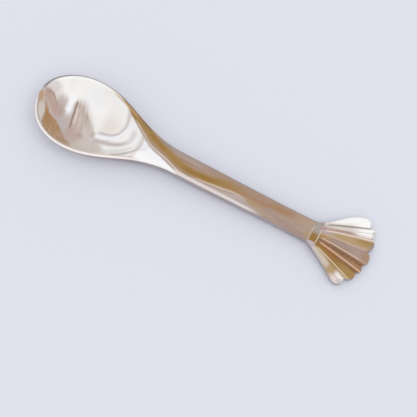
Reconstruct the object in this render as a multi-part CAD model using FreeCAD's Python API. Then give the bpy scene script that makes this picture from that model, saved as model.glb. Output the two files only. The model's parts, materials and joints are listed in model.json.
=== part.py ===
"""Caviar spoon carved from one piece of mother-of-pearl.

Millimetres, +Z up. X runs along the spoon from the tip of the bowl to the fan, and Y runs across
it. The belly of the bowl and the flat underside of the fan touch the table, and the handle arches
a little between them. The origin is on the table, under the middle of the spoon. While the spoon
is being made, stations along X are counted from the tip of the bowl, and Y from the handle's line.
"""
import FreeCAD, Part
import math
import os

from FreeCAD import Vector

# Plan. The sweeps say how far the line of the sides runs on before it turns. The bowl is carved by
# eye: its middle lies a little off the handle's line, and its nose is fuller on the near side.
overall_length = 120.0
bowl_width = 26.3
bowl_widest_at = 16.3
bowl_shift = -0.15
nose_shift = 1.8
shift_power = 4.0
far_fullness = 0.67
near_fullness = 0.85
shoulder_sweep = 13.0
neck_at = 52.0
neck_width = 7.8
neck_sweep = 16.0
waist_width = 6.5
handle_width = 7.4
fan_length = 20.2

# Side view: heights of the top, and how much upright edge is left below it
nose_height = 7.0
neck_height = 5.3
handle_height = 4.6
collar_height = 3.6
fan_end_height = 1.9
rim_edge = 1.5
handle_edge = 3.7

# Hollow and belly of the bowl
rim_width = 1.4
bowl_depth = 5.2
hollow_end_at = 41.5
hollow_pinch = 0.6
pinch_power = 2.3
floor_power = 2.6
belly_power = 2.2
belly_flat = 0.04

# Bevels that break the edges above and below the upright side, and at the ends of the ribs
rim_bevel = 0.5
under_bevel = 0.4
rib_bevel = 0.4

# Grooves filed into the top. Those of the fan sink a little more towards their outer end.
groove_width = 0.8
groove_depth = 0.45
fan_groove_sink = 0.25
collar_width = 2.6

# The grooves and ribs of the fan run out from an apex inside the handle. They are cut by hand,
# so no two are alike. Each point is an angle in degrees and how far it falls short of the reach.
fan_reach = 27.0
far_edge = ((29.8, 13.5), (33.0, 4.9), (30.6, 2.5), (27.6, 1.8))
groove_ends = ((23.4, 2.3), (16.6, 1.6), (6.0, 2.0), (-5.5, 1.6), (-11.9, 1.8), (-20.9, 2.8))
rib_ends = ((20.1, 0.35), (12.0, 0.1), (-0.4, 0.0), (-9.1, 0.5), (-16.4, 1.0))
near_edge = ((-25.6, 2.2), (-29.6, 3.4), (-30.0, 6.8), (-28.6, 14.1))

# Working room beyond the finished spoon
margin = 4.0

collar_at = overall_length - fan_length
apex_at = overall_length - fan_reach
handle_at = (neck_at + collar_at) / 2
rim_fall = (nose_height - neck_height) / neck_at
stock_height = nose_height + margin


def ease(share):
    """Smooth step from 0 to 1."""
    share = min(max(share, 0.0), 1.0)
    return 0.5 - 0.5 * math.cos(math.pi * share)


def behind_bowl(x):
    """Share of the way from the widest place of the bowl back to the neck."""
    return ease((x - bowl_widest_at) / (neck_at - bowl_widest_at))


def half_width(x):
    """Half the plan width of shoulder and neck, near enough for the belly below them."""
    return (bowl_width + behind_bowl(x) * (neck_width - bowl_width)) / 2


def off_middle(x):
    """How far the middle of the bowl lies off the handle's line at station x."""
    nose = nose_shift * max(1 - x / bowl_widest_at, 0) ** shift_power
    return bowl_shift * (1 - behind_bowl(x)) + nose


def rim_height(x):
    """Height of the rim, which lies in one plane that falls from the nose to the neck."""
    return nose_height - rim_fall * x


def on_fan(degrees, short):
    """Point of the fan's plan at an angle off the spoon's line, short of the full reach."""
    angle = math.radians(degrees)
    reach = fan_reach - short
    return Vector(apex_at + reach * math.cos(angle), reach * math.sin(angle), 0)


def spline(points):
    curve = Part.BSplineCurve()
    curve.interpolate(points)
    return curve


def bezier(points, middle_weight=None):
    curve = Part.BezierCurve()
    curve.setPoles(points)
    if middle_weight:
        curve.setWeight(2, middle_weight)
    return curve.toShape()


def side_edges(side):
    """Plan of one long side from the tip to the collar. side is 1 or -1."""
    def beside(x, width, shift=0.0):
        return Vector(x, shift + side * width / 2, 0)

    fullness = far_fullness if side > 0 else near_fullness
    widest = beside(bowl_widest_at, bowl_width, bowl_shift)
    neck = beside(neck_at, neck_width)
    nose = [Vector(0, off_middle(0), 0), beside(0, bowl_width, bowl_shift), widest]
    shoulder = [
        widest,
        beside(bowl_widest_at + shoulder_sweep, bowl_width, bowl_shift),
        beside(neck_at - neck_sweep, neck_width),
        neck,
    ]
    handle = [
        neck,
        beside(neck_at + neck_sweep, neck_width),
        beside(collar_at - neck_sweep, waist_width),
        beside(collar_at, handle_width),
    ]
    return [bezier(nose, fullness), bezier(shoulder), bezier(handle)]


def bowl_and_handle_plan():
    """Rounded nose, hollow shoulders and a parallel handle, cut straight across at the collar."""
    far = side_edges(1)
    near = side_edges(-1)[::-1]
    end = Part.makeLine(far[-1].Vertexes[1].Point, near[0].Vertexes[1].Point)
    return Part.Face(Part.Wire(near + far + [end]))


def fan_plan():
    """The fan from the collar out: two flared sides joined by the rounded ends of its ribs."""
    far_root = Vector(collar_at, handle_width / 2, 0)
    near_root = Vector(collar_at, -handle_width / 2, 0)
    far = [far_root] + [on_fan(*point) for point in far_edge]
    near = [on_fan(*point) for point in near_edge] + [near_root]
    notches = [on_fan(*point) for point in groove_ends]
    crowns = [on_fan(*point) for point in rib_ends]
    edges = [spline(far).toShape(), Part.makeLine(far[-1], notches[0])]
    for start, crown, end in zip(notches, crowns, notches[1:]):
        edges.append(Part.Arc(start, crown, end).toShape())
    edges.append(Part.makeLine(notches[-1], near[0]))
    edges.append(spline(near).toShape())
    edges.append(Part.makeLine(near_root, far_root))
    return Part.Face(Part.Wire(edges))


def top_line():
    """Side view of the top, run on past both ends of the spoon."""
    fan_fall = (collar_height - fan_end_height) / fan_length
    rim = [Vector(x, 0, rim_height(x)) for x in (-margin, bowl_widest_at, hollow_end_at, neck_at)]
    return spline(rim + [
        Vector(handle_at, 0, handle_height),
        Vector(collar_at, 0, collar_height),
        Vector(overall_length, 0, fan_end_height),
        Vector(overall_length + margin, 0, fan_end_height - margin * fan_fall),
    ])


def height_on(line, x):
    """Height of a side-view line at station x."""
    parameter = line.parameter(Vector(x, 0, neck_height))
    for _ in range(4):
        point, speed = line.getD1(parameter)
        parameter += (x - point.x) / speed.x
    return line.value(parameter).z


def stock_above(top):
    """What is cut away above the top."""
    start = top.StartPoint
    end = top.EndPoint
    roof = 2 * stock_height
    sides = Part.makePolygon([end, Vector(end.x, 0, roof), Vector(start.x, 0, roof), start])
    face = Part.Face(Part.Wire([top.toShape()] + sides.Edges))
    face.translate(Vector(0, -bowl_width, 0))
    return face.extrude(Vector(0, 2 * bowl_width, 0))


def underside_height(top, x, y):
    """Belly of the bowl, which runs out behind it into the arch under the handle."""
    edge = height_on(top, x) - rim_edge - behind_bowl(x) * (handle_edge - rim_edge)
    if x <= bowl_widest_at:
        outward = math.hypot(1 - x / bowl_widest_at, 2 * (y - off_middle(x)) / bowl_width)
        return edge * outward ** belly_power - belly_flat
    keel = edge * behind_bowl(x) - belly_flat
    return keel + (edge - keel) * abs((y - off_middle(x)) / half_width(x)) ** belly_power


def stock_below(top):
    """What is cut away below the belly and the handle."""
    stations = 40
    rows = 16
    x_start = -margin / 2
    x_step = (overall_length + margin - x_start) / stations
    y_start = -bowl_width / 2 - margin / 2
    y_step = -2 * y_start / rows
    net = []
    for i in range(stations + 1):
        x = x_start + i * x_step
        row = []
        for j in range(rows + 1):
            y = y_start + j * y_step
            row.append(Vector(x, y, underside_height(top, x, y)))
        net.append(row)
    surface = Part.BSplineSurface()
    surface.interpolate(net)
    return surface.toShape().extrude(Vector(0, 0, -stock_height))


def hollow_ring(outward):
    """Contour of the hollow: 0 is its deepest point and 1 is the inner edge of the rim."""
    front = bowl_widest_at - rim_width
    back = hollow_end_at - bowl_widest_at
    side = bowl_width / 2 - rim_width
    depth = bowl_depth * (1 - outward ** floor_power)
    steps = 28
    points = []
    for step in range(steps):
        turn = 2 * math.pi * step / steps
        along = outward * math.cos(turn)
        across = outward * math.sin(turn)
        pinch = 1 - hollow_pinch * max(along, 0) ** pinch_power
        x = bowl_widest_at + along * (back if along > 0 else front)
        y = across * side * pinch + off_middle(x)
        points.append(Vector(x, y, rim_height(x) - depth))
    curve = Part.BSplineCurve()
    curve.interpolate(points, PeriodicFlag=True)
    return Part.Wire([curve.toShape()])


def hollow():
    """The hollow of the bowl as a solid, carried on above the rim."""
    rings = [hollow_ring(outward) for outward in (0.12, 0.3, 0.5, 0.68, 0.84, 1.0, 1.12)]
    return Part.makeLoft(rings, True, False)


def groove(start, end):
    """Three-sided bar that files a V groove along the top from start to end."""
    run = end - start
    side = Vector(0, 0, 1).cross(run).normalize() * groove_width
    lift = Vector(0, 0, groove_depth)
    corners = [start - lift, start + side + lift, start - side + lift]
    return Part.Face(Part.makePolygon(corners + corners[:1])).extrude(run)


def fan_grooves(top):
    """A groove up each ray of the fan, from the collar out through the notch."""
    bars = []
    for degrees, short in groove_ends:
        root_reach = (fan_reach - fan_length + collar_width) / math.cos(math.radians(degrees))
        start = on_fan(degrees, fan_reach - root_reach)
        end = on_fan(degrees, short - margin)
        start.z = height_on(top, start.x)
        end.z = height_on(top, end.x) - fan_groove_sink
        bars.append(groove(start, end))
    return bars


def collar_grooves(top):
    """Two grooves straight across, where the handle meets the fan."""
    bars = []
    for x in (collar_at, collar_at + collar_width):
        z = height_on(top, x)
        bars.append(groove(Vector(x, -handle_width, z), Vector(x, handle_width, z)))
    return bars


def rib_bevels(top):
    """Sloping cuts that take the top corner off the rounded end of each rib."""
    half_cut = 2.2
    wedges = []
    for degrees, short in rib_ends:
        crown = on_fan(degrees, short)
        out = (crown - Vector(apex_at, 0, 0)).normalize()
        across = Vector(-out.y, out.x, 0) * half_cut
        start = crown - out * rib_bevel - across
        start.z = height_on(top, crown.x)
        up = Vector(0, 0, margin)
        away = out * margin
        corners = [start, start + away - up, start + away + up, start + up]
        wedges.append(Part.Face(Part.makePolygon(corners + corners[:1])).extrude(across * 2))
    return wedges


def bevelled(shape, top):
    """Solid with the edges above and below its long sides bevelled."""
    above = []
    below = []
    for edge in shape.Edges:
        middle = edge.valueAt((edge.FirstParameter + edge.LastParameter) / 2)
        beside = abs(middle.y) > waist_width / 2
        if edge.Length > margin and beside and middle.x < overall_length - 2 * margin:
            on_top = middle.z > height_on(top, middle.x) - 0.05
            (above if on_top else below).append(edge)
    return shape.makeChamfer(rim_bevel, above).makeChamfer(under_bevel, below)


def carved(plan, top, tools):
    """Solid cut from the stock to its plan, its top line and its underside."""
    block = plan.extrude(Vector(0, 0, stock_height))
    return block.cut([stock_above(top), stock_below(top)] + tools).Solids[0]


def spoon():
    top = top_line()
    body = bevelled(carved(bowl_and_handle_plan(), top, [hollow()]), top)
    fan = bevelled(carved(fan_plan(), top, []), top).cut(fan_grooves(top) + rib_bevels(top))
    whole = body.fuse(fan).cut(collar_grooves(top)).Solids[0]
    whole.translate(Vector(-overall_length / 2, -bowl_shift, 0))
    return whole


os.makedirs("parts", exist_ok=True)
spoon().exportStep("parts/spoon.step")
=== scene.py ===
"""Caviar spoon of mother-of-pearl: its polished shape, its nacre and the studio that it lies in.

X runs along the spoon from the tip of the bowl to the fan, Y across it and Z up from the table.
Shapes are in metres. The nacre is drawn in millimetres over the spoon's own coordinates, because
its layers stay where they are in the shell whatever looks at them.
"""
import json
import math

import bpy
from bpy.props import FloatProperty, FloatVectorProperty, IntProperty, PointerProperty
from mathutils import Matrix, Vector

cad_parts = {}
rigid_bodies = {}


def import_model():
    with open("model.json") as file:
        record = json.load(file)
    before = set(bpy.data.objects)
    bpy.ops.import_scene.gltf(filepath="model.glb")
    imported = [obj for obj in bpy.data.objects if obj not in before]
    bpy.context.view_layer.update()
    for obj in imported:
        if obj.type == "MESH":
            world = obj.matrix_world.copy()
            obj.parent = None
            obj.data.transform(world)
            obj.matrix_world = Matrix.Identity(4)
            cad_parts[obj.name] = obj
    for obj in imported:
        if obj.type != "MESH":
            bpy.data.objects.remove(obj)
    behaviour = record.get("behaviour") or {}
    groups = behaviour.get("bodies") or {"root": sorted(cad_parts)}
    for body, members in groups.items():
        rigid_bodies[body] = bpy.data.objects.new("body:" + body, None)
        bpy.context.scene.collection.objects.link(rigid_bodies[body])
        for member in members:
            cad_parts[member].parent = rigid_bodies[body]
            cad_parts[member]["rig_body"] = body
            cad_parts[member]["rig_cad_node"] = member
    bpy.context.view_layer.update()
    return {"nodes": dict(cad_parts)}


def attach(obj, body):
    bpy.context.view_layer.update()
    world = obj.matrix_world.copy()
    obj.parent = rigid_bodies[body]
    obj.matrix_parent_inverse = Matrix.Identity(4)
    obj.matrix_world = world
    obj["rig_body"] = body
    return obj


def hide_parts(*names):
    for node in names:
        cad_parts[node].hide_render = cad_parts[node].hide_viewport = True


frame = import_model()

bl_info = {
    "name": "Caviar spoon",
    "version": (1, 0, 0),
    "blender": (4, 5, 0),
    "location": "3D View > Sidebar > Spoon",
    "description": "Polishes a carved caviar spoon, gives it its nacre and sets up its studio",
    "category": "Object",
}

NODE = "spoon"
PIECE = "polished_spoon"
MM = 0.001
SENSOR_MM = 36.0

# Where the carving lies, in millimetres, with the powers and the share that shape its hollow
FAN_APEX = (33.0, 0.15)
FAN_START = 39.8
COLLAR_END = 42.4
BOWL_MIDDLE = -43.7
HOLLOW_FRONT = 14.9
HOLLOW_BACK = 25.2
HOLLOW_SIDE = 11.75
HOLLOW_PINCH = 0.6
PINCH_POWER = 2.3
NOSE_SHIFT = 1.8
NOSE_POWER = 4

# How far out the outline lies, where the edge of the hollow is at 1: points (x, out)
NEAR_OUTLINE = ((-59.5, 1.133), (-58.5, 1.154), (-57, 1.159), (-55, 1.152), (-52, 1.135),
                (-49, 1.124), (-40, 1.111), (-34, 1.104), (-31, 1.112), (-28, 1.135),
                (-25, 1.187), (-22, 1.275), (-20, 1.376))
FAR_OUTLINE = ((-59.5, 1.076), (-58.5, 1.068), (-57, 1.074), (-55, 1.09), (-52, 1.11),
               (-46, 1.117), (-40, 1.111), (-34, 1.109), (-31, 1.12), (-28, 1.144),
               (-25, 1.202), (-22, 1.303), (-20, 1.408))

# Degrees that the fibres of the shell are turned from the length of the spoon in the bowl
FIBRE_TURN = 72

# Sockets of a colour mix node, which has others of the same names
MIX_SHARE = 0
MIX_BASE = 6
MIX_TOP = 7
MIX_RESULT = 2

# Studio
TABLE_SIZE = 4.0
WINDOW_SPREAD_DEGREES = 50
WINDOW_DIRECTION = (-0.75, 0.1, -1.3)
NEAREST_SEEN = 0.01


def shade_of(red, green, blue):
    """A colour as the eye names it, 0 to 255, turned into the light that it gives back."""
    linear = []
    for value in (red, green, blue):
        value = value / 255
        linear.append(value / 12.92 if value <= 0.04045 else ((value + 0.055) / 1.055) ** 2.4)
    return tuple(linear)


# Layers of the shell, from its lustrous inside to its brown outside
WHITE = shade_of(250, 249, 247)
ICE = shade_of(244, 244, 249)
CREAM = shade_of(226, 214, 202)
BLUSH = shade_of(226, 212, 208)
PEARL = shade_of(206, 198, 194)
ROSE = shade_of(184, 154, 144)
PINK = shade_of(204, 170, 152)
LILAC = shade_of(188, 176, 178)
TAUPE = shade_of(190, 174, 164)
MAUVE = shade_of(164, 141, 132)
SAND = shade_of(200, 178, 152)
TAN = shade_of(174, 145, 98)
GOLD = shade_of(156, 119, 50)
OCHRE = shade_of(144, 101, 12)
CARAMEL = shade_of(176, 141, 110)
AMBER = shade_of(160, 115, 70)
BROWN = shade_of(138, 98, 62)
UMBER = shade_of(112, 84, 60)
ASH = shade_of(180, 178, 174)
SLATE = shade_of(140, 132, 132)

# Shades of the bowl
CHALK = shade_of(243, 241, 239)
OAT = shade_of(200, 186, 178)
PUTTY = shade_of(196, 183, 174)
FAWN = shade_of(172, 151, 140)
CLAY = shade_of(176, 155, 144)
HAZEL = shade_of(164, 131, 104)
BISCUIT = shade_of(180, 146, 112)
HONEY = shade_of(170, 130, 90)
DARK_HONEY = shade_of(162, 119, 66)
WALNUT = shade_of(142, 114, 94)
SHELL = shade_of(204, 196, 186)
DOVE = shade_of(190, 183, 183)
DIM_LILAC = shade_of(194, 183, 182)
PALE_LILAC = shade_of(204, 193, 194)
MIST = shade_of(210, 204, 208)
MILK = shade_of(226, 228, 222)

# Shades of the rim, with a painted highlight near and painted shade far
NEAR_RIM_HIGHLIGHT = shade_of(248, 240, 236)
RIM_SHADE = shade_of(158, 148, 146)
RIM_GOLD = shade_of(196, 158, 112)
FAR_RIM_SHADE_TIP = shade_of(140, 132, 130)
FAR_RIM_SHADE_DARK = shade_of(130, 122, 120)
FAR_RIM_SHADE_GREY = shade_of(162, 158, 158)
FAR_RIM_SHADE_PALE = shade_of(186, 182, 182)
FAR_RIM_SHADE_FAWN = shade_of(160, 142, 128)
FAR_RIM_SHADE_BROWN = shade_of(146, 118, 92)
FAR_RIM_SHADE_END = shade_of(150, 128, 110)

# Shades of the handle
HANDLE_DARK = shade_of(150, 126, 114)
HANDLE_MIDDLE = shade_of(165, 140, 125)
HANDLE_PALE = shade_of(178, 153, 135)
HANDLE_GREY = shade_of(164, 152, 148)
HANDLE_BROWN = shade_of(160, 130, 107)
HANDLE_WARM = shade_of(176, 146, 122)
HANDLE_MAUVE = shade_of(158, 130, 122)
HANDLE_LILAC = shade_of(182, 166, 161)
NECK_GOLD = shade_of(160, 125, 72)
LINEN = shade_of(220, 204, 190)
BUFF = shade_of(206, 184, 160)
HEATHER = shade_of(174, 157, 156)
FAR_EDGE_SHADE = shade_of(138, 122, 114)
NEAR_EDGE_HIGHLIGHT = shade_of(232, 220, 217)

# Shades of the collar and the fan
COLLAR_GREY = shade_of(162, 150, 144)
COLLAR_CUT = shade_of(220, 202, 190)
RIB_CREAM = shade_of(208, 196, 184)
RIB_ROSE = shade_of(184, 163, 154)
RIB_MAUVE = shade_of(176, 156, 150)
RIB_BROWN = shade_of(158, 131, 121)
PARCHMENT = shade_of(203, 192, 180)
SAFFRON = shade_of(148, 94, 4)
STRAW = shade_of(172, 142, 88)
GROOVE_SHADE_GREY = shade_of(134, 132, 126)
STRIPE_AND_HIGHLIGHT_SAND = shade_of(206, 178, 158)
STRIPE_AND_HIGHLIGHT_ROSE = shade_of(210, 176, 158)
STRIPE_AND_HIGHLIGHT_CORAL = shade_of(216, 168, 140)
STRIPE_AND_HIGHLIGHT_CREAM = shade_of(218, 192, 156)

# Shades where the layers are cut across, darkened on the upright edges as painted shade
SIDE_CUT_AND_SHADE_DARK = shade_of(134, 122, 126)
SIDE_CUT_AND_SHADE_MIDDLE = shade_of(150, 138, 142)
SIDE_CUT_AND_SHADE_PALE = shade_of(176, 166, 166)

# Table
TABLE = shade_of(224, 226, 237)

# Thin lines that run out along the fan: pale stripes of the shell with painted highlight where the
# grooves' walls face the light, and a grey line of painted shade in a groove; points (reach,
# angle), half width and colour
FAN_STRIPES_HIGHLIGHTS_AND_SHADE = (
    (((9, 22.1), (17, 23.6), (27, 23.4)), 0.10, GROOVE_SHADE_GREY),
    (((9, 18.0), (17, 18.9), (27, 19.6)), 0.06, PEARL),
    (((9, 16.4), (17, 15.2), (27, 15.6)), 0.12, PINK),
    (((9, 10.7), (17, 14.2), (20, 14.4)), 0.10, BLUSH),
    (((9, 5.0), (17, 6.4), (27, 6.0)), 0.12, STRIPE_AND_HIGHLIGHT_SAND),
    (((9, -2.9), (17, -2.3), (27, -2.9)), 0.14, STRIPE_AND_HIGHLIGHT_ROSE),
    (((9, -11.2), (17, -10.0), (27, -9.8)), 0.18, STRIPE_AND_HIGHLIGHT_CORAL),
    (((9, -20.2), (17, -19.2), (27, -20.6)), 0.12, STRIPE_AND_HIGHLIGHT_CREAM),
)


class Wire:
    """A shader socket that can be used in a Python expression."""

    def __init__(self, finish, socket):
        self.finish = finish
        self.socket = socket

    def math(self, operation, *values):
        return self.finish.node("ShaderNodeMath", {"operation": operation}, *values)

    def __add__(self, other):
        return self.math("ADD", self, other)

    def __sub__(self, other):
        return self.math("SUBTRACT", self, other)

    def __rsub__(self, other):
        return self.math("SUBTRACT", other, self)

    def __mul__(self, other):
        return self.math("MULTIPLY", self, other)

    def __truediv__(self, other):
        return self.math("DIVIDE", self, other)

    def __pow__(self, other):
        return self.math("POWER", self, other)

    def __abs__(self):
        return self.math("ABSOLUTE", self)

    __radd__ = __add__
    __rmul__ = __mul__


class Finish:
    """A material under construction: its nodes are added by calling one method."""

    def __init__(self, name):
        self.material = bpy.data.materials.new(name)
        self.material.use_nodes = True
        self.tree = self.material.node_tree
        self.tree.nodes.clear()

    def node(self, kind, settings=None, *values, output=0, **named):
        """Adds a node, makes its settings, then fills its sockets in order or by name.

        The output is a number or a name, too.
        """
        new = self.tree.nodes.new(kind)
        for key, value in (settings or {}).items():
            if key == "stops":
                self.set_stops(new.color_ramp, value)
            elif key == "line":
                self.set_line(new.mapping, value)
            else:
                setattr(new, key, value)
        for key, value in list(enumerate(values)) + list(named.items()):
            name = key if isinstance(key, int) else key.replace("_", " ")
            self.fill(new.inputs[name], value)
        return Wire(self, new.outputs[output]) if new.outputs else None

    def fill(self, socket, value):
        if isinstance(value, Wire):
            self.tree.links.new(value.socket, socket)
        elif value is not None:
            socket.default_value = value

    @staticmethod
    def set_stops(ramp, stops):
        while len(ramp.elements) < len(stops):
            ramp.elements.new(1.0)
        for element, (place, colour) in zip(ramp.elements, stops):
            element.position = place
            element.color = (*colour, 1.0)

    @staticmethod
    def set_line(mapping, points):
        curve = mapping.curves[0]
        while len(curve.points) < len(points):
            curve.points.new(0.5, 0.5)
        for point, (across, up) in zip(curve.points, points):
            point.location = (across, up)
        mapping.extend = "HORIZONTAL"
        mapping.update()

    def step(self, value, low, high):
        """0 below low, 1 above high and smooth between. low may be the larger one."""
        settings = {"interpolation_type": "SMOOTHSTEP"}
        if low < high:
            return self.node("ShaderNodeMapRange", settings, value, low, high, 0.0, 1.0)
        return self.node("ShaderNodeMapRange", settings, value, high, low, 1.0, 0.0)

    def between(self, value, low, high, soft):
        """1 between two values, falling off over a soft edge at each."""
        return self.step(value, low - soft, low + soft) * self.step(value, high + soft, high - soft)

    def mix(self, share, base, top):
        """Colour base with colour top laid over it."""
        base = base if isinstance(base, Wire) else (*base, 1.0)
        top = top if isinstance(top, Wire) else (*top, 1.0)
        new = self.tree.nodes.new("ShaderNodeMix")
        new.data_type = "RGBA"
        for index, value in ((MIX_SHARE, share), (MIX_BASE, base), (MIX_TOP, top)):
            self.fill(new.inputs[index], value)
        return Wire(self, new.outputs[MIX_RESULT])

    def ramp(self, value, stops):
        """Colour from a value, with the stops given in the value's own unit."""
        low = stops[0][0]
        high = stops[-1][0]
        scaled = [((place - low) / (high - low), colour) for place, colour in stops]
        share = (value - low) * (1 / (high - low))
        return self.node("ShaderNodeValToRGB", {"stops": scaled}, share)

    def line(self, value, points):
        """Smooth line through points (value, result)."""
        low = points[0][0]
        high = points[-1][0]
        floor = min(result for _, result in points)
        rise = max(result for _, result in points) - floor
        scaled = [((place - low) / (high - low), (result - floor) / rise)
                  for place, result in points]
        share = (value - low) * (1 / (high - low))
        curve = self.node("ShaderNodeFloatCurve", {"line": scaled}, 1.0, share)
        return curve * rise + floor

    def noise(self, place, size, detail=2.0, roughness=0.5):
        """Noise from 0 to 1 whose lumps measure size = (x, y, z) millimetres."""
        scale = tuple(1 / length for length in size)
        stretched = self.node("ShaderNodeVectorMath", {"operation": "MULTIPLY"}, place, scale)
        return self.node("ShaderNodeTexNoise", {}, Vector=stretched, Scale=1.0, Detail=detail,
                         Roughness=roughness)


class Nacre:
    """Lays the layers of the shell over the spoon, seen from above, in millimetres."""

    def __init__(self, finish):
        self.f = finish
        place = finish.node("ShaderNodeTexCoord", {}, output="Object")
        self.place = finish.node("ShaderNodeVectorMath", {"operation": "SCALE"}, place,
                                 Scale=1 / MM)
        self.true_x, self.true_y = [
            finish.node("ShaderNodeSeparateXYZ", {}, self.place, output=axis) for axis in "XY"]
        self.x = (self.true_x + self.wander((3.5, 3.5, 3.5), 0.25)
                  + self.wander((0.9, 0.9, 0.9), 0.12))
        self.y = (self.true_y + self.wander((4.5, 3.0, 3.0), 0.25)
                  + self.wander((1.6, 0.8, 0.8), 0.12))
        self.colour = None

    def wander(self, size, reach):
        """Small wandering offset that keeps the borders of the layers from being ruled lines."""
        return (self.f.noise(self.place, size, 2.0) - 0.5) * (2 * reach)

    def lay(self, mask, colour):
        """Lays a colour over what is there."""
        self.colour = self.f.mix(mask, self.colour, colour)

    def patch(self, x, y, long, short, turn_degrees=0.0, soft=0.5):
        """Soft-edged oval: 1 inside, 0 outside."""
        turn = math.radians(turn_degrees)
        dx = self.x - x
        dy = self.y - y
        along = (dx * math.cos(turn) + dy * math.sin(turn)) * (1 / long)
        across = (dy * math.cos(turn) - dx * math.sin(turn)) * (1 / short)
        return self.f.step((along * along + across * across) ** 0.5, 1 + soft, 1 - soft)

    def streak(self, points, half, soft=0.5, fade=1.0, upright=False):
        """Stroke through points (x, y) that run along X, or along Y if it is upright."""
        run, side = (self.y, self.x) if upright else (self.x, self.y)
        line = [(y, x) for x, y in points] if upright else list(points)
        line.sort()
        off = abs(side - self.f.line(run, line))
        return self.f.step(off, half + soft, max(half - soft, 0.0)) * self.f.between(
            run, line[0][0], line[-1][0], fade)

    def spot(self, colour, share, *oval):
        """Lays a patch of a colour, at a share of its full strength."""
        self.lay(self.patch(*oval) * share, colour)

    def stroke(self, colour, share, *stretch):
        """Lays a streak of a colour, at a share of its full strength."""
        self.lay(self.streak(*stretch) * share, colour)

    def beyond(self, points, soft):
        """1 on the near side (-Y) of a border through points (x, y)."""
        return self.f.step(self.y - self.f.line(self.x, points), soft, -soft)

    def bowl(self):
        """White nacre with painted highlight far, streaky taupe with painted shade near, brown
        layers at the tip.
        """
        f = self.f
        # The white ground is partly the shell's white nacre and partly painted highlight where the
        # far wall catches the light.
        clouds = f.noise(self.place, (5.0, 7.0, 5.0), 3)
        self.colour = f.mix(f.step(clouds, 0.35, 0.7), WHITE, CHALK)
        self.spot(ICE, 0.6, -43.5, 7.2, 4.0, 3.0)
        self.spot(CREAM, 0.6, -34.5, 1.6, 3.0, 4.0, 0, 0.8)
        self.spot(PEARL, 0.8, -57.0, 4.2, 2.6, 1.8, 40)
        fibres = f.noise(self.turned(FIBRE_TURN), (6.0, 0.55, 3.0), 3, 0.6)
        taupe = f.ramp(fibres, ((0.28, FAWN), (0.45, TAUPE), (0.6, OAT), (0.74, CREAM)))
        level = self.y
        self.y = self.y + (fibres - 0.5) * 2.0
        below = self.beyond(((-60, 1.8), (-57, 2.4), (-54, 3.6), (-51.5, 3.3), (-50, 1.5),
                (-49, 4.6), (-46, 5.1), (-44, 3.6), (-42, 2.0), (-40, 0.6), (-38, -1.4),
                (-36, -3.2), (-33, -6.5), (-30, -10)), 2.2)
        below = (below * (0.55 + 0.45 * f.step(self.x, -43, -46.5))
                 + f.step(below, 0.6, 1.0) * f.step(self.x, -46.5, -43) * 0.42)
        below = below * (1 - 0.3 * f.step(self.x, -43, -38))
        # Taupe streaks on the near side of the hollow, laid darker there as painted shade.
        self.lay(below, taupe)
        lower = self.beyond(((-46, -4), (-40, -5.5), (-34, -6.5), (-28, -8.5), (-24, -9)), 2.0)
        self.lay(lower * f.step(self.x, -46, -42) * 0.55, PUTTY)
        self.y = level + (fibres - 0.5) * 1.5
        self.tip(fibres)
        self.spot(ROSE, 0.6, -44.4, -7.6, 2.6, 3.2, 10, 0.8)
        self.spot(MAUVE, 0.5, -38.3, -3.2, 0.8, 1.3, 20)
        self.spot(MAUVE, 0.5, -42.0, -5.8, 1.2, 0.8)
        self.spot(HAZEL, 0.9, -45.0, -11.2, 3.2, 1.2, -8)
        self.y = level
        self.rings()

    def tip(self, fibres):
        """Brown and rose layers that the carving cuts through at the tip of the bowl."""
        f = self.f
        self.spot(ICE, 1.0, -50.0, 1.5, 1.2, 3.0, 14, 0.6)
        self.spot(LILAC, 0.75, -48.9, -4.6, 2.0, 3.6, 20, 0.6)
        self.spot(ASH, 0.6, -47.4, -7.0, 1.3, 1.6, 20, 0.6)
        self.spot(LILAC, 0.7, -52.4, 2.2, 1.6, 1.2, -30, 0.7)
        self.spot(CLAY, 0.85, -52.0, -0.6, 1.3, 2.4, 24, 0.6)
        self.stroke(ROSE, 1.0, ((-58.6, 1.6), (-56.5, 1.0), (-54.5, -0.6), (-52.5, -2.4),
                (-50.6, -4.6)), 1.6, 0.8)
        self.stroke(MAUVE, 1.0, ((-58.4, 2.0), (-56.5, 2.1), (-54.8, 1.3), (-53.4, -0.2)), 0.5, 0.5)
        self.spot(LILAC, 0.6, -51.7, -3.9, 1.4, 1.0, -45)
        wedge = self.beyond(((-58, 0.5), (-57, -0.8), (-56, -2.2), (-54, -3.8), (-50, -5.8),
                (-48, -7.2), (-46, -8.6), (-44, -10.4), (-42.5, -12.0)), 0.45)
        wedge = wedge * (1 - self.beyond(((-56.8, -1.5), (-56, -3.0), (-55.4, -4.8), (-54.6, -6.5),
                (-53.8, -8.3), (-52.5, -9.8), (-50, -11.2), (-46, -12.9)), 0.35))
        self.lay(wedge * f.step(self.x, -57.4, -56.4),
                 f.ramp(fibres, ((0.3, AMBER), (0.5, HONEY), (0.7, CARAMEL))))
        self.spot(DARK_HONEY, 0.9, -52.6, -7.0, 1.0, 2.8, 24, 0.5)
        self.spot(AMBER, 0.7, -54.2, -5.6, 0.5, 2.0, 20, 0.6)
        self.stroke(UMBER, 0.8, ((-54.6, -6.9), (-53.6, -8.7), (-52.3, -10.0), (-50.0, -11.1),
                (-47.5, -12.0)), 0.1, 0.4)
        self.spot(BISCUIT, 1.0, -59.0, -1.2, 1.3, 2.4, 10)
        self.spot(SHELL, 1.0, -56.1, -5.4, 1.0, 3.1, 22, 0.4)
        self.stroke(SLATE, 0.7, ((-58.4, -4.6), (-57.2, -6.4), (-56.0, -7.8), (-54.8, -8.7)), 0.2,
            0.4)
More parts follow.
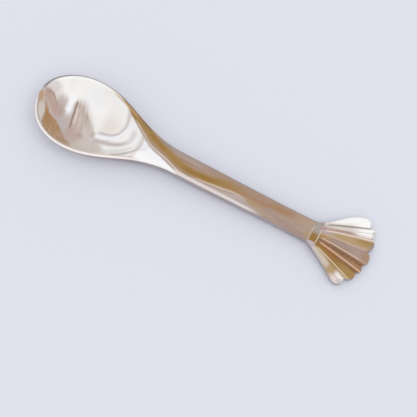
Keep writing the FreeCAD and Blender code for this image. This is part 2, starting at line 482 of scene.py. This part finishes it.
        self.stroke(WALNUT, 1.0, ((-48.6, 4.7), (-48.2, 3.0), (-47.7, 0.6), (-47.2, -1.5),
                (-46.6, -3.6), (-46.0, -5.2)), 0.12, 0.42, 0.6, True)
        self.stroke(BLUSH, 0.8, ((-47.3, 2.6), (-46.6, 0.2), (-46.0, -2.4)), 0.4, 0.4, 0.8, True)

    def rings(self):
        """Growth rings round the floor of the bowl, towards the neck."""
        self.stroke(DOVE, 0.85, ((-37.0, -1.6), (-35.0, -1.4), (-33.0, -0.8), (-31.5, 0.2),
                (-30.6, 1.6), (-30.1, 3.4)), 0.4, 0.8, 0.8)
        self.stroke(PALE_LILAC, 0.8, ((-30.7, 1.2), (-30.0, 3.0), (-29.8, 5.0), (-30.1, 7.0),
                (-30.8, 8.6)), 0.6, 0.7, 1.0, True)
        self.stroke(ICE, 1.0, ((-37.5, -3.2), (-35.0, -2.6), (-32.5, -1.6), (-30.5, -0.2),
                (-29.0, 2.0)), 0.7, 0.7)
        self.stroke(ICE, 1.0, ((-29.6, 0.8), (-28.7, 2.6), (-28.3, 4.2), (-28.2, 6.0)), 0.8, 0.7,
            1.0, True)
        self.stroke(DIM_LILAC, 1.0, ((-37.0, -5.2), (-34.0, -4.3), (-31.0, -3.6), (-28.5, -2.4),
                (-26.8, -1.0)), 0.9, 0.9)
        self.stroke(MIST, 0.7, ((-27.4, -1.8), (-26.4, -0.4), (-25.9, 1.6), (-26.2, 3.6)), 0.9, 0.9,
            1.2, True)
        self.stroke(MILK, 1.0, ((-30.5, -6.8), (-28.0, -5.6), (-26.0, -4.2), (-24.6, -2.2),
                (-23.6, 0.0)), 1.0, 0.8)
        self.stroke(ICE, 1.0, ((-24.4, -2.0), (-23.4, -0.2), (-23.0, 1.6)), 0.8, 0.7, 1.0, True)
        self.stroke(ASH, 1.0, ((-29.0, -8.4), (-26.5, -7.0), (-24.6, -5.4), (-23.0, -3.4),
                (-22.0, -1.6)), 0.7, 0.8)
        self.stroke(BLUSH, 0.8, ((-33.5, -9.8), (-29.0, -9.0), (-25.0, -7.0), (-22.0, -5.2)), 0.5,
            0.7)

    def neck(self):
        """White land beside the neck, with the handle's own layers on the far side of it."""
        f = self.f
        border = ((-42, 14.5), (-34, 10.5), (-27, 5.9), (-22, 2.6), (-18, 0.1), (-14, -1.0),
            (-8, -3.0), (-4, -4.4))
        land = self.beyond(border, 0.35)
        past_bowl = f.step(self.x, -24, -21)
        on_handle = past_bowl + (1 - past_bowl) * (1 - land)
        body = self.handle()
        self.lay(on_handle, body)
        self.lay(land * f.step(self.x, -23.2, -21.0), f.mix(f.step(self.y, -1.5, -4.5), ICE, WHITE))
        self.stroke(ASH, 0.5, border[2:], 0.1, 0.35, 1.0)
        above = ((-27, 6.5), (-22, 3.2), (-18, 0.7), (-14, -0.3), (-11, -1.1), (-8, -2.2),
            (-5, -2.9))
        self.stroke(LINEN, 0.85, above, 0.2, 0.3, 1.0)

    def handle(self):
        """Mauve-brown layers, a gold band wandering down the middle, painted shade far, painted
        highlight near.
        """
        f = self.f
        fibres = f.noise(self.place, (11.0, 0.5, 1.2), 3, 0.6)
        kept = self.colour
        self.colour = f.ramp(fibres, ((0.28, HANDLE_DARK), (0.5, HANDLE_MIDDLE),
                                      (0.72, HANDLE_PALE)))
        self.lay(f.step(self.x, -17, -24) * f.step(fibres, 0.1, 0.4) * 0.9, NECK_GOLD)
        self.lay(f.step(self.y, 2.2, 3.6) * f.between(self.x, -20, 17, 5.0) * 0.8, HANDLE_GREY)
        middle = ((-34, 11.0), (-31, 9.4), (-28, 7.8), (-25, 6.6), (-22, 5.3), (-20, 4.2),
            (-17, 3.0), (-14, 1.9), (-11, 0.9), (-8, 0.0), (-5, -0.5), (-1, -0.7), (3, -0.4),
            (7, 0.3), (11, 0.8), (16, 0.8), (22, 0.8))
        fade = f.step(self.x, 20, 8)
        self.lay(f.step(self.y, 0.6, 2.0) * f.between(self.x, 1, 34, 4.0) * 0.7, HANDLE_BROWN)
        self.lay(self.streak(middle, 1.35, 0.9, 1.5) * f.step(fibres, 0.15, 0.4) * fade, GOLD)
        self.stroke(AMBER, 0.55, ((8, 0.5), (16, 0.6), (24, 0.9), (34, 1.5)), 0.6, 1.2, 5.0)
        self.stroke(OCHRE, 0.7, ((-21, 4.6), (-18, 3.4), (-14, 1.8)), 0.5, 0.7, 1.5)
        self.stroke(OCHRE, 0.9, ((-6, -0.6), (-2, -0.7), (2, -0.5), (6, 0.0)), 0.5, 0.7, 2.0)
        self.stroke(UMBER, 0.8, ((-30, 9.7), (-27, 8.5), (-24.5, 7.1), (-21, 5.6)), 0.3, 0.5, 1.0)
        self.stroke(AMBER, 0.6, ((20, 0.3), (23, 0.6), (26, 1.4), (31, 1.8)), 0.4, 0.8, 3.0)
        self.stroke(TAN, 0.8, ((14, -1.6), (18, -1.0), (22, -1.4)), 0.6, 0.8, 2.0)
        self.spot(HANDLE_WARM, 0.6, 36.0, 1.4, 3.0, 1.0, 0, 0.8)
        self.lay(f.step(self.y, -1.2, -2.6) * f.step(self.x, 26, 34) * 0.7, HANDLE_MAUVE)
        self.spot(TAN, 0.7, 39.0, -1.5, 1.0, 1.2)
        lower = self.beyond(((-8, -2.4), (-4, -2.6), (0, -2.1), (5, -1.6), (10, -0.9), (15, -0.4),
                (18, -1.8), (24, -3.0), (30, -4.0)), 0.5)
        self.lay(lower * f.step(self.x, 25, 13), HANDLE_LILAC)
        self.stroke(BUFF, 1.0, ((-8, -2.6), (-4, -2.8), (0, -2.0), (5, -1.5), (10, -0.8),
                (15, -0.3)), 0.12, 0.3, 2.5)
        self.stroke(MAUVE, 0.8, ((-5, -2.9), (0, -2.4), (5, -2.1), (10, -1.5), (13, -1.1)), 0.2,
            0.3, 2.0)
        self.spot(HEATHER, 0.9, 17.5, -2.5, 3.5, 0.8, 0, 0.7)
        # Painted shade along the far edge of the handle.
        self.lay(f.step(self.true_y, 2.9, 3.6) * f.step(self.x, -19, -13) * 0.5, FAR_EDGE_SHADE)
        # Painted highlight along the near edge of the handle's top.
        light = f.step(self.true_y, -2.4, -2.9) * f.between(self.x, -12, 21, 4.0)
        self.lay(light * 0.85, NEAR_EDGE_HIGHLIGHT)
        body = self.colour
        self.colour = kept
        return body

    def fan(self):
        """A layer of its own colour between each two grooves, which run out from one apex."""
        f = self.f
        dx = self.true_x - FAN_APEX[0]
        dy = self.true_y - FAN_APEX[1]
        reach = (dx * dx + dy * dy) ** 0.5
        angle = f.node("ShaderNodeMath", {"operation": "ARCTAN2"}, dy, dx) * (180 / math.pi)
        rays = f.node("ShaderNodeCombineXYZ", {}, angle, reach * 0.08, 0.0)
        fibres = f.noise(rays, (1.1, 1.0, 1.0), 3, 0.6)
        root = f.ramp(angle, ((-34, PEARL), (-24, RIB_CREAM), (-20.5, SAND), (-19.5, OCHRE),
                (-12.4, OCHRE), (-11.0, BROWN), (-6.0, BROWN), (-4.0, CARAMEL), (-1.5, OCHRE),
                (2.0, TAN), (4.0, TAN), (6.0, RIB_ROSE), (10.0, RIB_MAUVE), (11.5, LILAC),
                (13.0, MAUVE), (17.0, ROSE), (18.5, TAUPE), (22, PEARL), (26, BLUSH), (34, WHITE)))
        middle = f.ramp(angle, ((-34, TAN), (-21.0, TAN), (-19.6, OCHRE), (-14.0, OCHRE),
                (-12.2, AMBER), (-10.8, BROWN), (-3.6, BROWN), (-2.4, RIB_BROWN), (3.0, RIB_BROWN),
                (4.8, MAUVE), (6.4, SAND), (8.0, TAN), (12.0, TAN), (13.6, SAND), (15.0, MAUVE),
                (17.0, ROSE), (18.4, TAUPE), (20.0, CREAM), (22.0, PEARL), (23.4, TAUPE),
                (24.4, CREAM), (28.0, WHITE), (34, WHITE)))
        outer = f.ramp(angle, ((-34, BLUSH), (-24, BLUSH), (-21.0, CREAM), (-20.4, TAN),
                (-18.0, GOLD), (-13.0, GOLD), (-11.6, BROWN), (-6.8, AMBER), (-4.0, BROWN),
                (-2.6, MAUVE), (1.0, MAUVE), (5.0, MAUVE), (6.6, TAUPE), (7.8, TAN), (12.6, GOLD),
                (14.4, SAND), (15.6, BLUSH), (17.6, WHITE), (34, WHITE)))
        bands = f.mix(f.step(reach, 11.0, 15.5), root, middle)
        bands = f.mix(f.step(reach, 18.0, 23.0), bands, outer)
        self.lay(f.step(self.true_x, COLLAR_END - 0.1, COLLAR_END + 0.1), bands)
        on_fan = f.step(self.true_x, COLLAR_END + 0.5, COLLAR_END + 2.0)
        self.lay(f.step(fibres, 0.52, 0.85) * on_fan * 0.22, CREAM)
        self.lay(f.step(fibres, 0.5, 0.2) * on_fan * f.step(angle, 12, 16) * 0.5, MAUVE)
        self.lay(f.step(fibres, 0.48, 0.2) * on_fan * f.step(angle, 16, 12) * 0.5, UMBER)
        self.spot(PARCHMENT, 0.9, 46.6, -6.4, 3.4, 1.4, -27, 0.5)
        self.spot(WHITE, 0.6, 54.0, -9.0, 1.6, 0.6, -28, 0.8)
        self.spot(SAFFRON, 1.0, 48.6, -3.6, 2.0, 0.8, -14, 0.8)
        self.spot(STRAW, 0.8, 50.8, -8.0, 1.4, 1.4, 0, 0.5)
        # Pale stripes with painted highlight along the grooves, and painted shade in one groove.
        for points, half, colour in FAN_STRIPES_HIGHLIGHTS_AND_SHADE:
            off = abs(angle - f.line(reach, points)) * reach * (math.pi / 180)
            self.lay(f.step(off, half + 0.18, half - 0.05) * on_fan, colour)
        # The grey spots at the ends of three lobes are painted shade on their end faces; the amber
        # spot is the shell's own brown.
        self.spot(SLATE, 0.8, 59.2, 4.4, 0.8, 1.6, 0, 0.8)
        self.spot(ASH, 0.7, 54.6, -10.4, 1.0, 0.9)
        self.spot(AMBER, 0.6, 58.8, 0.4, 1.6, 2.2, 0, 0.8)
        self.spot(ASH, 0.7, 57.6, 9.0, 0.5, 1.0)
        self.collar()

    def collar(self):
        """The band between the two grooves across, gold on its near half."""
        f = self.f
        band = (f.step(self.true_x, FAN_START - 0.1, FAN_START + 0.1)
                * f.step(self.true_x, COLLAR_END + 0.1, COLLAR_END - 0.1))
        half = f.mix(f.step(self.y, -0.9, 1.0), OCHRE, COLLAR_GREY)
        half = f.mix(f.step(self.y, -2.6, -3.2), half, LILAC)
        self.lay(band, half)
        for x in (FAN_START, COLLAR_END):
            cut = f.step(abs(self.true_x - x - 0.1), 0.32, 0.08)
            self.lay(cut * f.between(self.true_y, -3.2, 2.4, 0.8) * 0.8, COLLAR_CUT)

    def turned(self, degrees):
        """Place turned about the upright, so that stretched noise runs along that direction."""
        return self.f.node("ShaderNodeVectorRotate", {"rotation_type": "Z_AXIS"}, Vector=self.place,
                           Angle=math.radians(degrees))

    def rim(self):
        """The rim, told by how far a place lies in from the outline: painted highlight near,
        painted shade far.
        """
        f = self.f
        dx = self.true_x - BOWL_MIDDLE
        back = f.step(dx, -0.1, 0.1)
        along = dx * (1 / HOLLOW_FRONT + back * (1 / HOLLOW_BACK - 1 / HOLLOW_FRONT))
        behind = along * back
        front = along * (1 - back)
        pinch = 1 - (behind ** PINCH_POWER) * HOLLOW_PINCH
        across = (self.true_y - (front ** NOSE_POWER) * NOSE_SHIFT) / (pinch * HOLLOW_SIDE)
        out = (along * along + across * across) ** 0.5
        here = f.step(self.true_x, -19, -23)
        near = f.step(self.true_y, 0.0, -3.0) * here
        inset = (f.line(self.true_x, NEAR_OUTLINE) - out) * HOLLOW_SIDE
        self.lay(f.step(inset, 1.5, 0.9) * near * 0.5, TAUPE)
        self.lay(f.between(inset, 0.8, 1.2, 0.2) * near * f.step(self.true_x, -52, -56) * 0.8,
            RIM_SHADE)
        # Painted highlight along the near rim.
        self.lay(f.step(inset, 0.85, 0.55) * near, NEAR_RIM_HIGHLIGHT)
        self.lay(f.step(inset, 0.16, -0.05) * near, LILAC)
        far = f.step(self.true_y, 1.0, 3.0) * f.step(self.true_x, -24, -29)
        inset = (f.line(self.true_x, FAR_OUTLINE) - out) * HOLLOW_SIDE
        # Painted shade along the far rim, grey at the tip and brown towards the neck.
        far_rim_shade = f.ramp(self.true_x, ((-60, FAR_RIM_SHADE_TIP), (-54, FAR_RIM_SHADE_DARK), (-48, FAR_RIM_SHADE_GREY),
                                    (-42, FAR_RIM_SHADE_PALE), (-37, FAR_RIM_SHADE_FAWN), (-30, FAR_RIM_SHADE_BROWN),
                                    (-24, FAR_RIM_SHADE_END)))
        self.lay(f.step(inset, 0.9, 0.4) * far, far_rim_shade)
        warm = f.step(self.true_x, -40, -36) * f.step(self.true_x, -26, -29) * far
        self.lay(f.between(inset, 0.9, 1.4, 0.2) * warm * 0.8, RIM_GOLD)

    def sides(self):
        """Upright edges and underside, where the layers are cut across; the upright edges are
        darkened as painted shade.
        """
        f = self.f
        normal = f.node("ShaderNodeNewGeometry", {}, output="Normal")
        tilt = f.node("ShaderNodeSeparateXYZ", {}, normal, output="Z")
        edge_fibres = f.noise(self.place, (14.0, 3.0, 0.35), 3, 0.6)
        # Cut layers of the upright edges, darkened as painted shade.
        cut = f.ramp(edge_fibres, ((0.3, SIDE_CUT_AND_SHADE_DARK), (0.5, SIDE_CUT_AND_SHADE_MIDDLE), (0.7, SIDE_CUT_AND_SHADE_PALE)))
        pale = f.step(self.true_x, 43, 48) * f.step(self.true_y, 3.0, 6.0)
        cut = f.mix(pale, cut, PEARL)
        self.lay(f.step(tilt, 0.5, 0.2), cut)
        back_fibres = f.noise(self.place, (9.0, 1.1, 3.0), 4, 0.6)
        under = f.ramp(back_fibres, ((0.25, TAUPE), (0.45, PEARL), (0.6, CREAM), (0.8, TAN)))
        self.lay(f.step(tilt, -0.25, -0.6), under)


class SpoonShape(bpy.types.PropertyGroup):
    """How finely the carved spoon is polished."""

    grain: FloatProperty(name="Mesh grain", description="Size of the faces before they are thinned",
                         default=0.15 * MM, unit="LENGTH", precision=5)
    passes: IntProperty(name="Polishing passes", description="How often the edges are eased",
                        default=4)
    kept: FloatProperty(name="Faces kept", default=0.42, subtype="FACTOR",
                        description="Share of the faces that stay after thinning")


class SpoonLustre(bpy.types.PropertyGroup):
    """How the nacre shines."""

    roughness: FloatProperty(name="Roughness", description="Of the nacre below its polish",
                             default=0.32)
    polish: FloatProperty(name="Polish", description="Strength of the clear shine on top",
                          default=0.45)
    depth: FloatProperty(name="Layer depth", description="How much the cut layers stand out",
                         default=0.02 * MM, unit="LENGTH", precision=6)


class SpoonStudio(bpy.types.PropertyGroup):
    """Camera and light."""

    lens: FloatProperty(name="Lens", description="Focal length in millimetres", default=100.0)
    turn: FloatProperty(name="Turn", default=math.radians(28.2), subtype="ANGLE",
                        description="How far the camera stands round from the near side")
    elevation: FloatProperty(name="Elevation", description="Height of the camera over the table",
                             default=math.radians(70.0), subtype="ANGLE")
    distance: FloatProperty(name="Distance", description="From the camera to its aim",
                            default=0.369, unit="LENGTH")
    aim: FloatVectorProperty(name="Aim", description="Point at the middle of the picture",
                             default=(0.00743, -0.00847, 0.003), subtype="XYZ")
    table: FloatVectorProperty(name="Table", description="Colour of the table",
                               default=TABLE, subtype="COLOR")
    daylight: FloatProperty(name="Daylight", description="Strength of the light from all round",
                            default=0.86)
    window: FloatProperty(name="Window", description="Strength of the light from one side",
                          default=0.5)


def deselect_all():
    for piece in bpy.context.selected_objects:
        piece.select_set(False)


class SPOON_OT_polish(bpy.types.Operator):
    """Copy the carved spoon, close its surface and ease its edges as polishing does"""

    bl_idname = "spoon.polish"
    bl_label = "Polish the spoon"

    def execute(self, context):
        shape = context.scene.spoon_shape
        carved = frame["nodes"][NODE]
        deselect_all()
        carved.select_set(True)
        context.view_layer.objects.active = carved
        bpy.ops.object.duplicate()
        piece = context.view_layer.objects.active
        piece.name = PIECE
        piece.data.name = PIECE
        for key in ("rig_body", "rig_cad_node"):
            del piece[key]
        bpy.ops.object.parent_clear(type="CLEAR_KEEP_TRANSFORM")
        bpy.ops.object.mode_set(mode="EDIT")
        bpy.ops.mesh.select_all(action="SELECT")
        bpy.ops.mesh.remove_doubles(threshold=0.001 * MM)
        bpy.ops.object.mode_set(mode="OBJECT")
        remesh = piece.modifiers.new("even faces", "REMESH")
        remesh.mode = "VOXEL"
        remesh.voxel_size = shape.grain
        smooth = piece.modifiers.new("eased edges", "SMOOTH")
        smooth.factor = 0.5
        smooth.iterations = shape.passes
        thin = piece.modifiers.new("fewer faces", "DECIMATE")
        thin.ratio = shape.kept
        for modifier in list(piece.modifiers):
            bpy.ops.object.modifier_apply(modifier=modifier.name)
        bpy.ops.object.shade_smooth()
        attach(piece, "root")
        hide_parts(NODE)
        return {"FINISHED"}


class SPOON_OT_nacre(bpy.types.Operator):
    """Give the polished spoon its nacre"""

    bl_idname = "spoon.nacre"
    bl_label = "Nacre"

    def execute(self, context):
        lustre = context.scene.spoon_lustre
        piece = bpy.data.objects[PIECE]
        finish = Finish("nacre")
        nacre = Nacre(finish)
        nacre.bowl()
        nacre.neck()
        nacre.rim()
        nacre.fan()
        nacre.sides()
        layers = finish.noise(nacre.turned(FIBRE_TURN), (5.0, 0.35, 2.0), 3, 0.6)
        relief = finish.node("ShaderNodeBump", {}, Strength=0.3, Distance=lustre.depth,
                             Height=layers)
        shader = finish.node("ShaderNodeBsdfPrincipled", {}, Base_Color=nacre.colour,
                             Roughness=lustre.roughness, Normal=relief, Coat_Weight=lustre.polish,
                             Coat_Roughness=0.1)
        finish.node("ShaderNodeOutputMaterial", {}, shader)
        piece.data.materials.clear()
        piece.data.materials.append(finish.material)
        return {"FINISHED"}


class SPOON_OT_studio(bpy.types.Operator):
    """Lay the table, light it softly and place the camera"""

    bl_idname = "spoon.studio"
    bl_label = "Studio"

    def execute(self, context):
        scene = context.scene
        studio = scene.spoon_studio
        self.table(studio)
        self.lamps(scene, studio)
        self.camera(scene, studio)
        scene.view_settings.view_transform = "Standard"
        return {"FINISHED"}

    @staticmethod
    def table(studio):
        deselect_all()
        bpy.ops.mesh.primitive_plane_add(size=TABLE_SIZE, location=(0.0, 0.0, 0.0))
        table = bpy.context.view_layer.objects.active
        table.name = "table"
        finish = Finish("matt table")
        shader = finish.node("ShaderNodeBsdfDiffuse", {}, (*studio.table, 1.0))
        finish.node("ShaderNodeOutputMaterial", {}, shader)
        table.data.materials.append(finish.material)

    @staticmethod
    def lamps(scene, studio):
        sun = bpy.data.lights.new("window", "SUN")
        sun.energy = studio.window
        sun.angle = math.radians(WINDOW_SPREAD_DEGREES)
        lamp = bpy.data.objects.new("window", sun)
        scene.collection.objects.link(lamp)
        direction = Vector(WINDOW_DIRECTION)
        lamp.rotation_euler = direction.to_track_quat("-Z", "Y").to_euler()
        world = bpy.data.worlds.new("studio walls")
        world.use_nodes = True
        walls = world.node_tree.nodes["Background"]
        walls.inputs["Color"].default_value = (1.0, 1.0, 1.0, 1.0)
        walls.inputs["Strength"].default_value = studio.daylight
        scene.world = world

    @staticmethod
    def camera(scene, studio):
        flat = math.cos(studio.elevation)
        away = Vector((math.sin(studio.turn) * flat, -math.cos(studio.turn) * flat,
                       math.sin(studio.elevation)))
        camera = bpy.data.cameras.new("camera")
        camera.lens = studio.lens
        camera.sensor_width = SENSOR_MM
        camera.clip_start = NEAREST_SEEN
        holder = bpy.data.objects.new("camera", camera)
        scene.collection.objects.link(holder)
        holder.location = Vector(studio.aim) + away * studio.distance
        holder.rotation_euler = (-away).to_track_quat("-Z", "Y").to_euler()
        scene.camera = holder


class SPOON_PT_panel(bpy.types.Panel):
    """Lists what makes the spoon"""

    bl_label = "Caviar spoon"
    bl_idname = "SPOON_PT_panel"
    bl_space_type = "VIEW_3D"
    bl_region_type = "UI"
    bl_category = "Spoon"

    def draw(self, context):
        scene = context.scene
        layout = self.layout
        for group in (scene.spoon_shape, scene.spoon_lustre, scene.spoon_studio):
            for key in group.__annotations__:
                layout.prop(group, key)
        for maker in OPERATORS:
            layout.operator(maker.bl_idname)


OPERATORS = (SPOON_OT_polish, SPOON_OT_nacre, SPOON_OT_studio)
CLASSES = (SpoonShape, SpoonLustre, SpoonStudio) + OPERATORS + (SPOON_PT_panel,)


def register():
    for kind in CLASSES:
        bpy.utils.register_class(kind)
    bpy.types.Scene.spoon_shape = PointerProperty(type=SpoonShape)
    bpy.types.Scene.spoon_lustre = PointerProperty(type=SpoonLustre)
    bpy.types.Scene.spoon_studio = PointerProperty(type=SpoonStudio)


def unregister():
    del bpy.types.Scene.spoon_studio
    del bpy.types.Scene.spoon_lustre
    del bpy.types.Scene.spoon_shape
    for kind in reversed(CLASSES):
        bpy.utils.unregister_class(kind)


def main():
    register()
    bpy.ops.spoon.polish()
    bpy.ops.spoon.nacre()
    bpy.ops.spoon.studio()


if __name__ == "__main__":
    main()
